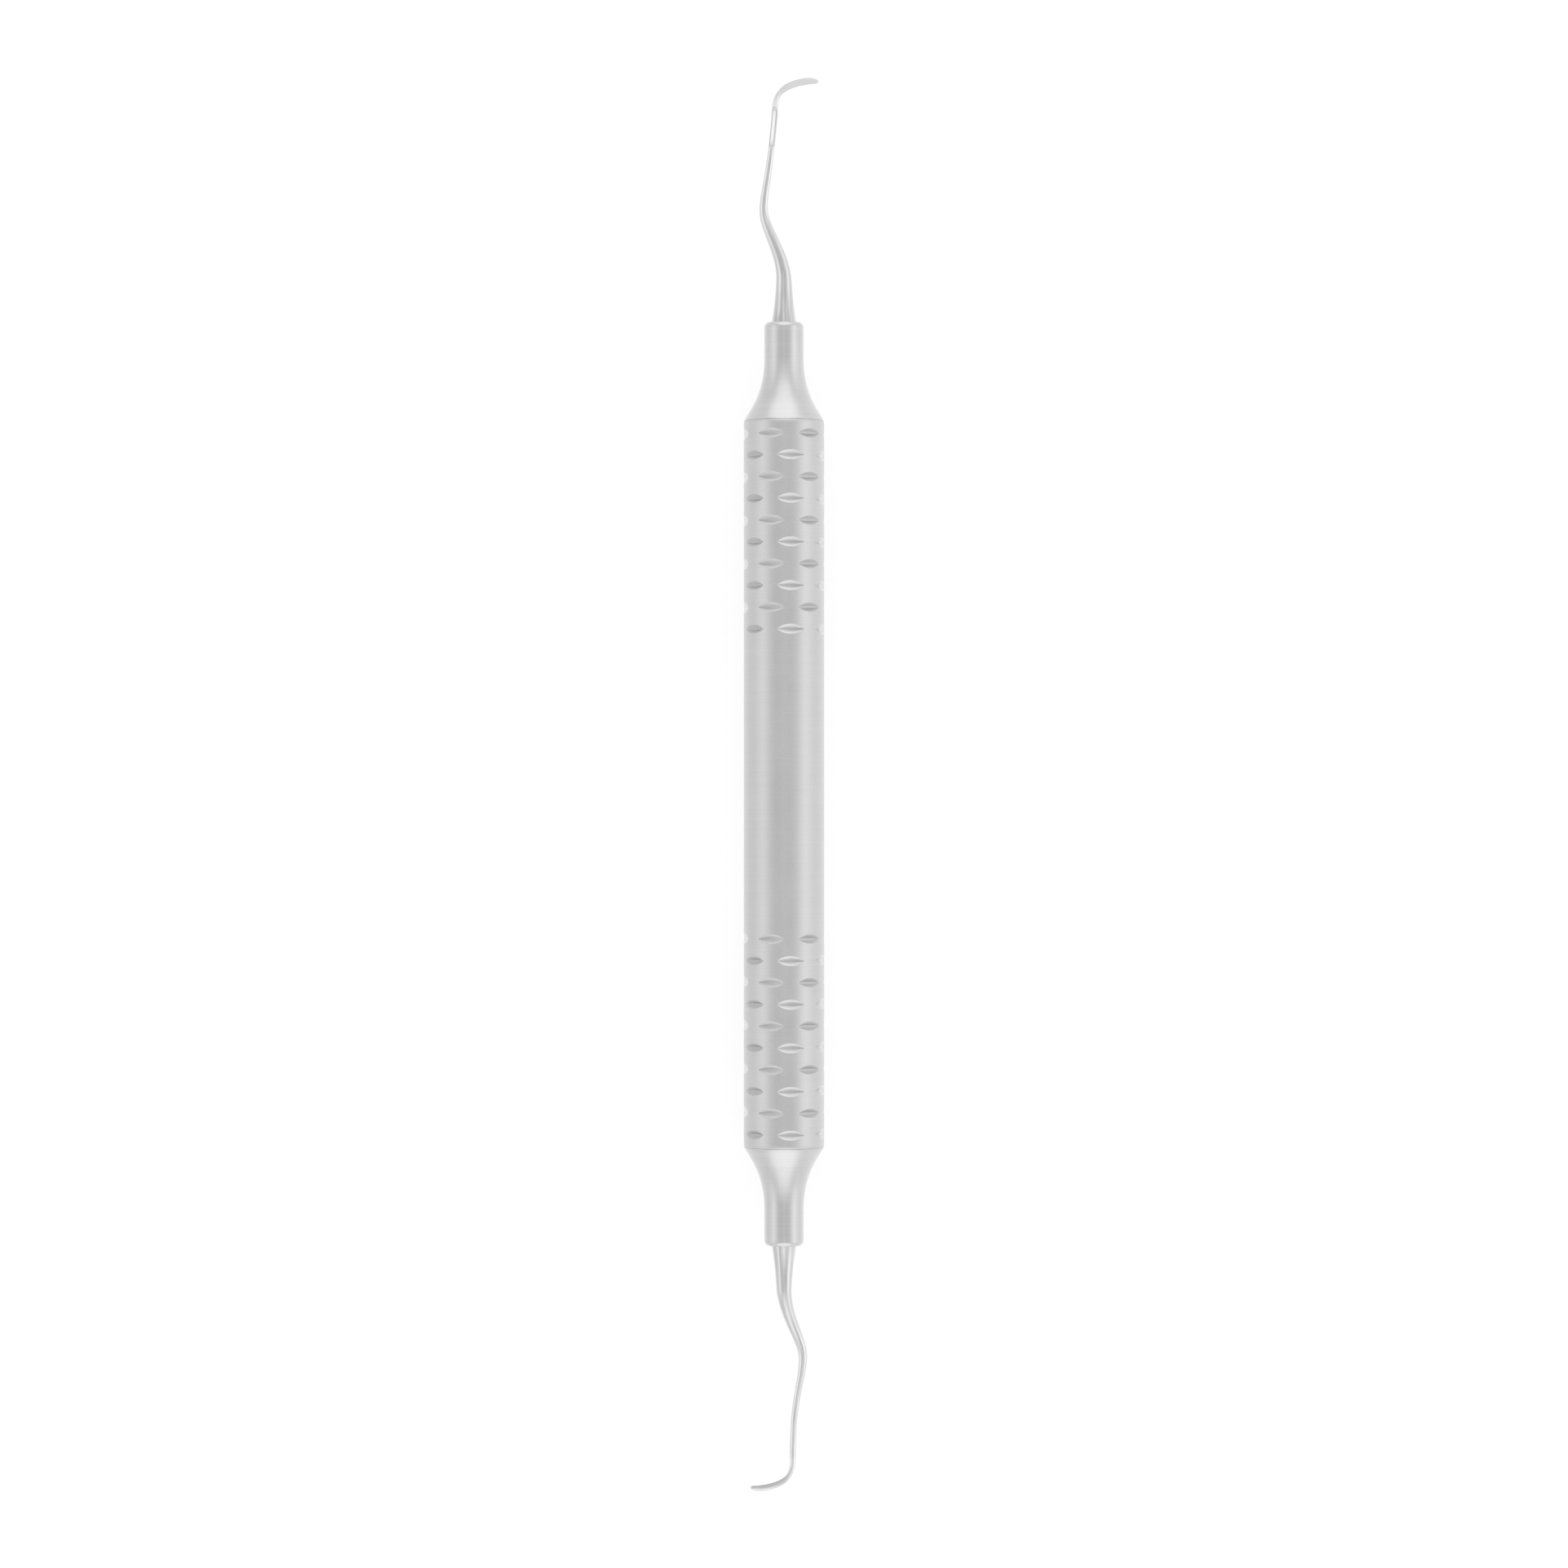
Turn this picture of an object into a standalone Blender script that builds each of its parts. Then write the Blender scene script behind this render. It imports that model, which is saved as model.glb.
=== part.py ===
"""A double-ended hand scaler, lying on a surface.

The handle's axis runs along X and +Z is up. The lowest facet of the handle rests on z = 0. A hollow
tube is the grip. A turned cone with a narrow neck is pressed into each end of it, and each neck
holds the tang of a working end: a tapered, bent shank that ends in a hooked blade. The two working
ends are mirror images of each other.
"""

import math

import bmesh
import bpy
import numpy as np
from mathutils import Matrix, Vector

MM = 0.001

# ---- Driving dimensions, in metres ----
FIT_GAP = 0.3 * MM  # left between two pieces that touch or press together

HANDLE_RADIUS = 5.0 * MM
HANDLE_HALF_LENGTH = 45.1 * MM
HANDLE_WALL = 0.6 * MM
EDGE_BREAK = 0.1 * MM  # chamfer on the turned edges
TURNED_SIDES = 32  # a multiple of 4 puts a facet straight down, wide enough to rest on

GRIP_FIRST_ROW = 19.16 * MM  # distance from the handle's middle to the nearest row of cuts
GRIP_ROW_PITCH = 2.692 * MM
GRIP_ROWS = 10
CUTS_PER_ROW = 6
CUT_DEPTH = 0.29 * MM
CUT_FLOOR_HALF_WIDTH = 0.15 * MM
CUT_MOUTH_HALF_WIDTH = 0.58 * MM
CUT_FIRST_ANGLE = math.radians(-80)  # from straight up, towards -Y
CUTTER_OVERSHOOT = 0.3 * MM  # how far a cutter stands out of the tube
CUTTER_HALF_LENGTH = 2.0 * MM

SPIGOT_LENGTH = 8.0 * MM
SPIGOT_LEAD_IN = 0.4 * MM
FLARE_END = 46.7 * MM  # where the straight flare turns into the curve to the neck
FLARE_END_RADIUS = 4.04 * MM
NECK_START = 53.0 * MM
NECK_RADIUS = 2.44 * MM
NECK_END = 57.4 * MM
LIP_ROUNDING = 0.5 * MM  # small enough for the lip to end outside the bore

SHANK_BASE_RADIUS = 1.56 * MM
TANG_LENGTH = 10.0 * MM
TANG_LEAD_IN = 0.4 * MM
TANG_GROOVES = (2.5 * MM, 5.5 * MM)  # distance of each ring groove from the tang's inner end
TANG_GROOVE_WIDTH = 1.0 * MM
TANG_GROOVE_DEPTH = 0.15 * MM
FACE_TILT = math.radians(27)  # of the blade's flat face: up on end A, and down on end B
PRESSED_IN_TURN = math.radians(8)  # how far each working end is turned about the handle's axis
BACK_POWER = 2.5  # roundness of the blade's back, which meets its face at about 70 degrees
SECTION_POINTS = 16
RINGS_PER_STATION = 2

SHARP_ANGLE = math.radians(30)  # edges that turn more than this are shaded as sharp
MERGE_DISTANCE = 0.0001 * MM  # joins the seam where a turned skin meets itself

# The working end in millimetres: along the handle from its middle, sideways (+ to the side that the
# blade hooks to), up, half width, depth of the back, and how far the round section of the shank
# (0) has turned into the flat-faced section of the blade (1).
WORKING_END_STATIONS = (
    (57.40, 0.00, 0.00, 1.56, 1.56, 0.0),
    (58.70, 0.00, 0.00, 1.35, 1.35, 0.0),
    (60.00, 0.00, 0.00, 1.18, 1.18, 0.0),
    (61.80, 0.00, 0.00, 1.03, 1.03, 0.0),
    (63.20, -0.03, 0.03, 0.95, 0.95, 0.0),
    (64.80, -0.31, 0.18, 0.86, 0.86, 0.0),
    (67.00, -1.06, 0.46, 0.76, 0.76, 0.0),
    (69.10, -1.93, 0.60, 0.67, 0.67, 0.0),
    (70.50, -2.38, 0.60, 0.61, 0.61, 0.0),
    (71.60, -2.47, 0.60, 0.56, 0.56, 0.0),
    (73.10, -2.33, 0.68, 0.51, 0.51, 0.0),
    (75.50, -1.92, 0.86, 0.46, 0.46, 0.0),
    (77.80, -1.57, 1.00, 0.43, 0.43, 0.0),
    (79.20, -1.40, 0.94, 0.41, 0.41, 0.0),
    (81.30, -1.25, 0.56, 0.41, 0.41, 0.0),
    (83.20, -1.13, 0.20, 0.41, 0.41, 0.0),
    (84.30, -1.10, 0.03, 0.41, 0.41, 0.0),
    (84.80, -1.05, -0.03, 0.41, 0.41, 0.1),
    (85.25, -0.91, -0.07, 0.41, 0.41, 0.3),
    (85.66, -0.68, -0.11, 0.42, 0.42, 0.5),
    (86.04, -0.37, -0.14, 0.44, 0.46, 0.8),
    (86.36, 0.00, -0.17, 0.47, 0.52, 1.0),
    (86.61, 0.42, -0.19, 0.49, 0.57, 1.0),
    (86.87, 1.06, -0.21, 0.51, 0.60, 1.0),
    (87.06, 1.72, -0.23, 0.51, 0.61, 1.0),
    (87.19, 2.39, -0.25, 0.51, 0.60, 1.0),
    (87.27, 3.05, -0.27, 0.49, 0.56, 1.0),
    (87.28, 3.60, -0.28, 0.42, 0.47, 1.0),
    (87.27, 3.98, -0.29, 0.31, 0.34, 1.0),
    (87.25, 4.19, -0.29, 0.17, 0.18, 1.0),
)
TOE_TIP = (87.24, 4.28, -0.29)

# ---- Worked out from them ----
HANDLE_BORE_RADIUS = HANDLE_RADIUS - HANDLE_WALL
AXIS_HEIGHT = HANDLE_RADIUS * math.cos(math.pi / TURNED_SIDES)
SPIGOT_RADIUS = HANDLE_BORE_RADIUS - FIT_GAP
SHOULDER = HANDLE_HALF_LENGTH + FIT_GAP
TANG_BORE_RADIUS = SHANK_BASE_RADIUS + FIT_GAP
FLARE_SLOPE = (HANDLE_RADIUS - FLARE_END_RADIUS) / (FLARE_END - HANDLE_HALF_LENGTH)
SHOULDER_RADIUS = FLARE_END_RADIUS + (FLARE_END - SHOULDER) * FLARE_SLOPE

SATIN_STEEL = ("satin_steel", (0.66, 0.66, 0.65, 1.0), 0.42)
TURNED_STEEL = ("turned_steel", (0.70, 0.70, 0.69, 1.0), 0.36)
POLISHED_STEEL = ("polished_steel", (0.76, 0.76, 0.75, 1.0), 0.2)


def clear_scene():
    for obj in list(bpy.data.objects):
        bpy.data.objects.remove(obj, do_unlink=True)


def steel(name, colour, roughness):
    material = bpy.data.materials.new(name)
    material.use_nodes = True
    shader = material.node_tree.nodes["Principled BSDF"]
    shader.inputs["Base Color"].default_value = colour
    shader.inputs["Roughness"].default_value = roughness
    shader.inputs["Metallic"].default_value = 1.0
    return material


def mesh_from(bm, name, material):
    bmesh.ops.recalc_face_normals(bm, faces=bm.faces)
    if bm.calc_volume(signed=True) < 0:
        bmesh.ops.reverse_faces(bm, faces=bm.faces)
    mesh = bpy.data.meshes.new(name)
    bm.to_mesh(mesh)
    bm.free()
    mesh.materials.append(material)
    mesh.shade_smooth()
    mesh.set_sharp_from_angle(angle=SHARP_ANGLE)
    return mesh


def place(name, mesh, parent):
    obj = bpy.data.objects.new(name, mesh)
    bpy.context.collection.objects.link(obj)
    obj.parent = parent
    return obj


def turned(profile):
    """A bmesh turned round X from a closed profile of (along, radius), with a facet facing down."""
    bm = bmesh.new()
    half_facet = Matrix.Rotation(math.pi / TURNED_SIDES, 3, "X")
    corners = [bm.verts.new(half_facet @ Vector((along, 0, radius))) for along, radius in profile]
    sides = [bm.edges.new(pair) for pair in zip(corners, corners[1:] + corners[:1])]
    bmesh.ops.spin(
        bm,
        geom=corners + sides,
        axis=(1, 0, 0),
        cent=(0, 0, 0),
        angle=2 * math.pi,
        steps=TURNED_SIDES,
        use_merge=True,
    )
    bmesh.ops.remove_doubles(bm, verts=bm.verts, dist=MERGE_DISTANCE)
    return bm


def handle_profile():
    """The tube's wall, with its edges broken."""
    end, outer, inner = HANDLE_HALF_LENGTH, HANDLE_RADIUS, HANDLE_BORE_RADIUS
    return [
        (-end, inner + EDGE_BREAK),
        (-end, outer - EDGE_BREAK),
        (-end + EDGE_BREAK, outer),
        (end - EDGE_BREAK, outer),
        (end, outer - EDGE_BREAK),
        (end, inner + EDGE_BREAK),
        (end - EDGE_BREAK, inner),
        (-end + EDGE_BREAK, inner),
    ]


def flare_to_neck(steps=8):
    """The hollow curve from the straight flare to the neck: a parabola tangent to both."""
    start = Vector((FLARE_END, FLARE_END_RADIUS))
    end = Vector((NECK_START, NECK_RADIUS))
    corner = Vector((FLARE_END + (FLARE_END_RADIUS - NECK_RADIUS) / FLARE_SLOPE, NECK_RADIUS))
    curve = []
    for step in range(steps + 1):
        t = step / steps
        curve.append((1 - t) ** 2 * start + 2 * t * (1 - t) * corner + t**2 * end)
    return [tuple(point) for point in curve]


def lip(steps=4):
    """The rounded end of the neck: a quarter circle."""
    curve = []
    for step in range(steps + 1):
        turn = math.pi / 2 * step / steps
        along = NECK_END - LIP_ROUNDING + LIP_ROUNDING * math.sin(turn)
        radius = NECK_RADIUS - LIP_ROUNDING + LIP_ROUNDING * math.cos(turn)
        curve.append((along, radius))
    return curve


def cone_profile():
    """The end cone: spigot, shoulder, flare, neck and lip, with a bore for the tang right through."""
    inner_end = SHOULDER - SPIGOT_LENGTH
    return [
        (inner_end, TANG_BORE_RADIUS),
        (inner_end, SPIGOT_RADIUS - SPIGOT_LEAD_IN),
        (inner_end + SPIGOT_LEAD_IN, SPIGOT_RADIUS),
        (SHOULDER, SPIGOT_RADIUS),
        (SHOULDER, SHOULDER_RADIUS),
        *flare_to_neck(),
        *lip(),
        (NECK_END, TANG_BORE_RADIUS),
    ]


def add_box(bm, corners):
    """A closed box from eight corners: four round the bottom, then four round the top."""
    verts = [bm.verts.new(corner) for corner in corners]
    for face in ((0, 3, 2, 1), (4, 5, 6, 7), (0, 1, 5, 4), (1, 2, 6, 5), (2, 3, 7, 6), (3, 0, 4, 7)):
        bm.faces.new([verts[index] for index in face])


def add_cut(bm, along, angle):
    """One pass of a flat-nosed V cutter straight across the handle, at an angle from straight up."""
    low = HANDLE_RADIUS - CUT_DEPTH
    high = HANDLE_RADIUS + CUTTER_OVERSHOOT
    widening = (CUT_MOUTH_HALF_WIDTH - CUT_FLOOR_HALF_WIDTH) / CUT_DEPTH
    corners = []
    for height in (low, high):
        half = CUT_FLOOR_HALF_WIDTH + (height - low) * widening
        for x, y in ((-1, -1), (1, -1), (1, 1), (-1, 1)):
            corners.append(Vector((along + x * half, y * CUTTER_HALF_LENGTH, height)))
    turn = Matrix.Rotation(angle, 3, "X")
    add_box(bm, [turn @ corner for corner in corners])


def grip_cutter(material, parent):
    """All the grip cuts as one hidden cutter. Each row is turned half a step from the one before."""
    bm = bmesh.new()
    step = 2 * math.pi / CUTS_PER_ROW
    for end in (1, -1):
        for row in range(GRIP_ROWS):
            along = end * (GRIP_FIRST_ROW + row * GRIP_ROW_PITCH)
            half_turned = (row + (end > 0)) % 2
            for cut in range(CUTS_PER_ROW):
                add_cut(bm, along, CUT_FIRST_ANGLE + (cut + half_turned / 2) * step)
    cutter = place("grip_cutter", mesh_from(bm, "grip_cutter", material), parent)
    cutter.hide_render = True
    cutter.display_type = "WIRE"
    return cutter


def make_handle(material, parent):
    mesh = mesh_from(turned(handle_profile()), "handle_tube", material)
    handle = place("handle_tube", mesh, parent)
    cuts = handle.modifiers.new("grip_cuts", "BOOLEAN")
    cuts.operation = "DIFFERENCE"
    cuts.solver = "EXACT"
    cuts.object = grip_cutter(material, parent)


def make_cones(material, parent):
    """Two equal cones. The second is turned half round, so that it points the other way."""
    mesh = mesh_from(turned(cone_profile()), "end_cone", material)
    place("end_cone_a", mesh, parent)
    other = place("end_cone_b", mesh, parent)
    other.rotation_euler.z = math.pi


def smooth_stations(rows, steps):
    """More rows between the given ones, on a smooth curve through them."""
    rows = np.array(rows)
    lengths = np.linalg.norm(np.diff(rows[:, :3], axis=0), axis=1)
    at = np.concatenate([[0.0], np.cumsum(lengths)])
    slopes = np.gradient(rows, at, axis=0)
    smooth = []
    for i, length in enumerate(lengths):
        for t in np.arange(steps) / steps:
            smooth.append(
                (2 * t**3 - 3 * t**2 + 1) * rows[i]
                + (t**3 - 2 * t**2 + t) * length * slopes[i]
                + (3 * t**2 - 2 * t**3) * rows[i + 1]
                + (t**3 - t**2) * length * slopes[i + 1]
            )
    return np.array(smooth + [rows[-1]])


def tang_rows():
    """The straight tang inside the neck, with two ring grooves, in the stations' columns."""
    start = NECK_END - TANG_LENGTH
    base = SHANK_BASE_RADIUS
    rings = [(start, base - TANG_LEAD_IN), (start + TANG_LEAD_IN, base)]
    for groove in TANG_GROOVES:
        near = start + groove
        far = near + TANG_GROOVE_WIDTH
        bottom = base - TANG_GROOVE_DEPTH
        rings += [(near, base), (near + TANG_GROOVE_DEPTH, bottom)]
        rings += [(far - TANG_GROOVE_DEPTH, bottom), (far, base)]
    return [(along / MM, 0.0, 0.0, radius / MM, radius / MM, 0.0) for along, radius in rings]


def section(row, tangent):
    """The points round one section: a circle on the shank, a flat face and a round back on the blade."""
    along, sideways, up, half_width, depth, bladed = row
    centre = Vector((along, -sideways, up)) * MM
    inward = tangent.cross(Vector((0, 0, 1))).normalized()
    lift = inward.cross(tangent)
    face = inward * math.cos(FACE_TILT) + lift * math.sin(FACE_TILT)
    width = lift * math.cos(FACE_TILT) - inward * math.sin(FACE_TILT)
    points = []
    for index in range(SECTION_POINTS):
        angle = 2 * math.pi * index / SECTION_POINTS
        across = half_width * math.cos(angle)
        if math.sin(angle) >= 0:
            rise = half_width * (1 - bladed) * math.sin(angle)
        else:
            back = 1 - abs(math.cos(angle)) ** BACK_POWER
            rise = -depth * ((1 - bladed) * -math.sin(angle) + bladed * back)
        points.append(centre + (width * across + face * rise) * MM)
    return points


def working_end_bmesh(opposite_hand):
    """Tang, shank and blade as one skin over a row of sections, closed at both ends."""
    rows = np.array(tang_rows() + list(smooth_stations(WORKING_END_STATIONS, RINGS_PER_STATION)))
    rows[:, 5] = rows[:, 5].clip(0, 1)
    path = rows[:, :3] * (1, -1, 1)
    tangents = np.gradient(path, axis=0)
    bm = bmesh.new()
    rings = []
    for row, tangent in zip(rows, tangents):
        points = section(row, Vector(tangent).normalized())
        rings.append([bm.verts.new(point) for point in points])
    for ring, following in zip(rings, rings[1:]):
        for index in range(SECTION_POINTS):
            beside = (index + 1) % SECTION_POINTS
            bm.faces.new((ring[index], ring[beside], following[beside], following[index]))
    bm.faces.new(rings[0])
    along, sideways, up = TOE_TIP
    toe = bm.verts.new(Vector((along, -sideways, up)) * MM)
    for index in range(SECTION_POINTS):
        bm.faces.new((rings[-1][index], rings[-1][(index + 1) % SECTION_POINTS], toe))
    if opposite_hand:
        bmesh.ops.scale(bm, vec=(-1, -1, -1), verts=bm.verts)
    return bm


def make_working_ends(material, parent):
    """A left-handed and a right-handed end, mirrored through the handle's middle, each turned a little."""
    for name, opposite_hand, turn in (
        ("working_end_a", False, -PRESSED_IN_TURN),
        ("working_end_b", True, PRESSED_IN_TURN),
    ):
        working_end = place(name, mesh_from(working_end_bmesh(opposite_hand), name, material), parent)
        working_end.rotation_euler.x = turn


def main():
    clear_scene()
    axis = bpy.data.objects.new("handle_axis", None)
    bpy.context.collection.objects.link(axis)
    axis.location.z = AXIS_HEIGHT
    make_handle(steel(*SATIN_STEEL), axis)
    make_cones(steel(*TURNED_STEEL), axis)
    make_working_ends(steel(*POLISHED_STEEL), axis)


main()
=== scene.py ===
"""The looks of a double-ended hand scaler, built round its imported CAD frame.

The handle's axis runs along X and +Z is up. Each of the five CAD nodes is stood for by a fine mesh of
the same size: a tube with its grip cuts, two turned end cones and two working ends. Angles round the
handle are measured from straight up, towards -Y.
"""

import math

import bmesh
import bpy
import numpy as np
from mathutils import Matrix, Vector


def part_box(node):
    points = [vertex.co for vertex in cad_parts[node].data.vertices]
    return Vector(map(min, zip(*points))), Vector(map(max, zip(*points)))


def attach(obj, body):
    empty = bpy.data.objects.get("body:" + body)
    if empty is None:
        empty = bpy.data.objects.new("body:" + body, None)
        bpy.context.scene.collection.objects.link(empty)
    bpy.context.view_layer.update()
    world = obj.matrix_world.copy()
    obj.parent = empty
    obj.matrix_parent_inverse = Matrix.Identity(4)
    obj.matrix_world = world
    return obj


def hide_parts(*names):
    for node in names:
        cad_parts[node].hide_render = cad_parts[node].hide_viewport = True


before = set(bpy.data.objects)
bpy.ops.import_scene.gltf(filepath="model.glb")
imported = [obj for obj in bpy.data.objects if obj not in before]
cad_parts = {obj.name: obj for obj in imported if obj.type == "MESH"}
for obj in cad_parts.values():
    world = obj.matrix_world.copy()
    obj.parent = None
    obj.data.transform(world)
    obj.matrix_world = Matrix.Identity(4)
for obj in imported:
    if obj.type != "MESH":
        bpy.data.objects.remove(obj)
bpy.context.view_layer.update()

MM = 0.001

# ---- From the frame ----
CAD_SIDES = 32  # of the frame's turned pieces, whose flats are a little inside the true circle
tube_low, tube_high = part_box("handle_tube")
cone_low, cone_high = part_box("end_cone_a")
tang_low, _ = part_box("working_end_a")
AXIS_HEIGHT = (tube_low.z + tube_high.z) / 2
HANDLE_RADIUS = (tube_high.z - tube_low.z) / 2 / math.cos(math.pi / CAD_SIDES)
HANDLE_HALF_LENGTH = tube_high.x
SPIGOT_END = cone_low.x
NECK_END = cone_high.x
TANG_END = tang_low.x

# ---- Handle ----
JOINT_GAP = 0.01 * MM
BORE_RADIUS = 4.4 * MM
HANDLE_EDGE_DROP = 0.08 * MM  # how far the tube's rounded edge falls away at its end
HANDLE_EDGE_LENGTH = 0.45 * MM
GRIP_FIRST_ROW = 19.16 * MM
GRIP_ROW_PITCH = 2.692 * MM
GRIP_ROWS = 10
CUTS_PER_ROW = 6
CUT_DEPTH = 0.29 * MM
CUT_FLOOR_HALF_WIDTH = 0.19 * MM
CUT_MOUTH_HALF_WIDTH = 0.59 * MM
CUT_FULLNESS = 0.8  # under 1 makes a cut's outline fuller than a plain lens
CUT_FIRST_ANGLE = math.radians(-80)
CREST_ROUNDING = 0.04 * MM
CREST_WEAR = 0.13 * MM
NARROWEST_STRIP = 0.02 * MM
COLUMNS_PER_STRETCH = 6
SIDE_START = 0.45  # cosine of the angle past which a cut is on the handle's side, and gets a painted glint in place of painted shade
SIDE_FADE = 0.2
SIDE_PAINTED_GLINT = 0.6  # how light the painted glint makes such a cut, where the painted shade of a cut on the slope is 1
WORN_SHARE = 0.6  # how worn the rings on each side of a cut's worn edge are
EDGE_STEPS = 6
PLAIN_RINGS = 14  # along the plain middle
BORE_CHAMFER = 0.1 * MM
BORE_RINGS = 10

# ---- End cones ----
CONE_COLUMNS = 192
SPIGOT_RADIUS = BORE_RADIUS - JOINT_GAP
SPIGOT_LEAD_IN = 0.4 * MM
SHOULDER_DROP = 0.04 * MM  # how far the shoulder's rim is inside the handle's full radius
FLARE_END = 46.7 * MM
FLARE_END_RADIUS = 4.04 * MM
FLARE_SLOPE = 0.6
NECK_START = 53.0 * MM
NECK_RADIUS = 2.44 * MM
LIP_ROUNDING = 0.65 * MM
SHOULDER_BLEND = 0.16 * MM  # along the handle, from the shoulder's rim to the straight flare
SHOULDER_STEPS = 8
FLARE_STEPS = 6
NECK_STEPS = 40
LIP_STEPS = 12

# ---- Working ends ----
SHANK_BASE_RADIUS = 1.56 * MM
TANG_LEAD_IN = 0.4 * MM
TANG_GROOVES = (2.5 * MM, 5.5 * MM)
TANG_GROOVE_WIDTH = 1.0 * MM
TANG_GROOVE_DEPTH = 0.15 * MM
FACE_TILT = math.radians(27)
PRESSED_IN_TURN = math.radians(8)
BACK_POWER = 2.5
SECTION_COLUMNS = 72
RING_STEP = 0.1  # millimetres along the shank
SMOOTHING = 0.3  # millimetres along the shank
FLAT_START = 79.0  # millimetres along the handle: a narrow flat ground on the shank, before the hook
FLAT_END = 84.2
FLAT_RUN_IN = 0.3
FLAT_RUN_OUT = 0.6
FLAT_DEPTH = 0.11  # share of the shank's radius that the flat takes off
FLAT_EDGE_PAINTED_SHADE_WIDTH = 0.5  # share of the shank's radius over which the flat's edges get painted shade
SATIN_START = 83.4  # where the polish ends and the ground satin of the hook begins
SATIN_FADE = 0.8
SLENDER_START = 63.0  # where the shank thins and gets a painted highlight, and how gradually it does
SLENDER_FADE = 7.0
ROOT_END = 62.5  # where the painted streaky shade on the upper shank's root ends, and how gradually it does
ROOT_FADE = 4.5
ROOT_SIDE = 0.68  # share of the shank's radius above which the root gets painted shade, and how gradually
ROOT_SIDE_FADE = 0.24
TOE_LENGTH = 1.5  # millimetres of rounded toe
TOE_POWER = 2.3
TOE_RINGS = 16
TOE_TURN = math.radians(88)  # short of a right angle, so that the last ring isn't a point

# Millimetres: along the handle, sideways (+ to the side that the blade hooks to), up, half width,
# depth of the back, and how far the round shank (0) has turned into the flat-faced blade (1).
WORKING_END_STATIONS = (
    (57.40, 0.00, 0.00, 1.56, 1.56, 0.0),
    (58.70, 0.00, 0.00, 1.35, 1.35, 0.0),
    (60.00, 0.00, 0.00, 1.18, 1.18, 0.0),
    (61.80, 0.00, 0.00, 1.03, 1.03, 0.0),
    (63.20, -0.03, 0.03, 0.95, 0.95, 0.0),
    (64.80, -0.31, 0.18, 0.86, 0.86, 0.0),
    (67.00, -1.06, 0.46, 0.76, 0.76, 0.0),
    (69.10, -1.93, 0.60, 0.67, 0.67, 0.0),
    (70.50, -2.38, 0.60, 0.61, 0.61, 0.0),
    (71.60, -2.47, 0.60, 0.56, 0.56, 0.0),
    (73.10, -2.33, 0.68, 0.51, 0.51, 0.0),
    (75.50, -1.92, 0.86, 0.46, 0.46, 0.0),
    (77.80, -1.57, 1.00, 0.43, 0.43, 0.0),
    (79.20, -1.40, 0.94, 0.41, 0.41, 0.0),
    (81.30, -1.25, 0.56, 0.41, 0.41, 0.0),
    (83.20, -1.13, 0.20, 0.41, 0.41, 0.0),
    (84.30, -1.10, 0.03, 0.41, 0.41, 0.0),
    (84.80, -1.05, -0.03, 0.41, 0.41, 0.1),
    (85.25, -0.91, -0.07, 0.41, 0.41, 0.3),
    (85.66, -0.68, -0.11, 0.42, 0.42, 0.5),
    (86.04, -0.37, -0.14, 0.44, 0.46, 0.8),
    (86.36, 0.00, -0.17, 0.47, 0.52, 1.0),
    (86.61, 0.42, -0.19, 0.49, 0.57, 1.0),
    (86.87, 1.06, -0.21, 0.51, 0.60, 1.0),
    (87.06, 1.72, -0.23, 0.51, 0.61, 1.0),
    (87.19, 2.39, -0.25, 0.51, 0.60, 1.0),
    (87.27, 3.05, -0.27, 0.50, 0.58, 1.0),
    (87.28, 3.60, -0.28, 0.50, 0.57, 1.0),
    (87.26, 4.00, -0.29, 0.49, 0.56, 1.0),
    (87.24, 4.28, -0.29, 0.49, 0.56, 1.0),
)

# ---- Camera and studio ----
CAMERA_DISTANCE = 0.5975  # straight above the handle's axis
VIEW_WIDTH = 0.195  # that the picture takes in, at the axis
SENSOR_WIDTH = 36.0
FLOOR_SIZE = 12.0
FLOOR_DROP = 0.03 * MM
FLOOR_SHADE = 0.45
FLOOR_GLOW = 0.68
LIGHT_LEVEL = 1.25
BACKDROP_LEVEL = 1.1  # of the world where the camera sees it directly

SHARP_ANGLE = math.radians(26)  # edges that turn more than this are shaded as sharp


# ---- Meshes ----
def skin(name, rings, joined=False, attributes=None):
    """A closed mesh over rings of points. The last ring joins the first, or each end has a cap."""
    count, columns = rings.shape[:2]
    points = rings.reshape(-1, 3)
    index = np.arange(count * columns).reshape(count, columns)
    ahead = np.roll(index, -1, axis=0) if joined else index[1:]
    here = index if joined else index[:-1]
    quads = np.stack([here, np.roll(here, -1, axis=1), np.roll(ahead, -1, axis=1), ahead], axis=-1)
    faces = quads.reshape(-1, 4).tolist()
    if not joined:
        caps = [points[ring].mean(axis=0) for ring in (index[0], index[-1])]
        for ring, cap in ((index[0], len(points)), (index[-1][::-1], len(points) + 1)):
            faces += [[int(ring[(i + 1) % columns]), int(ring[i]), cap] for i in range(columns)]
        points = np.vstack([points, caps])
    mesh = bpy.data.meshes.new(name)
    mesh.from_pydata(points.tolist(), [], faces)
    bm = bmesh.new()
    bm.from_mesh(mesh)
    bmesh.ops.recalc_face_normals(bm, faces=bm.faces)
    if bm.calc_volume(signed=True) < 0:
        bmesh.ops.reverse_faces(bm, faces=bm.faces)
    bm.to_mesh(mesh)
    bm.free()
    for key, values in (attributes or {}).items():
        flat = values.reshape(-1)
        padded = np.concatenate([flat, np.full(len(points) - len(flat), flat[-1])])
        layer = mesh.attributes.new(key, "FLOAT", "POINT")
        layer.data.foreach_set("value", padded.astype(np.float32))
    mesh.shade_smooth()
    mesh.set_sharp_from_angle(angle=SHARP_ANGLE)
    return mesh


def around(along, radius, angles):
    """Points at those angles round the handle's axis."""
    along, radius, angles = np.broadcast_arrays(along, radius, angles)
    return np.stack([along, -radius * np.sin(angles), AXIS_HEIGHT + radius * np.cos(angles)], axis=-1)


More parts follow.
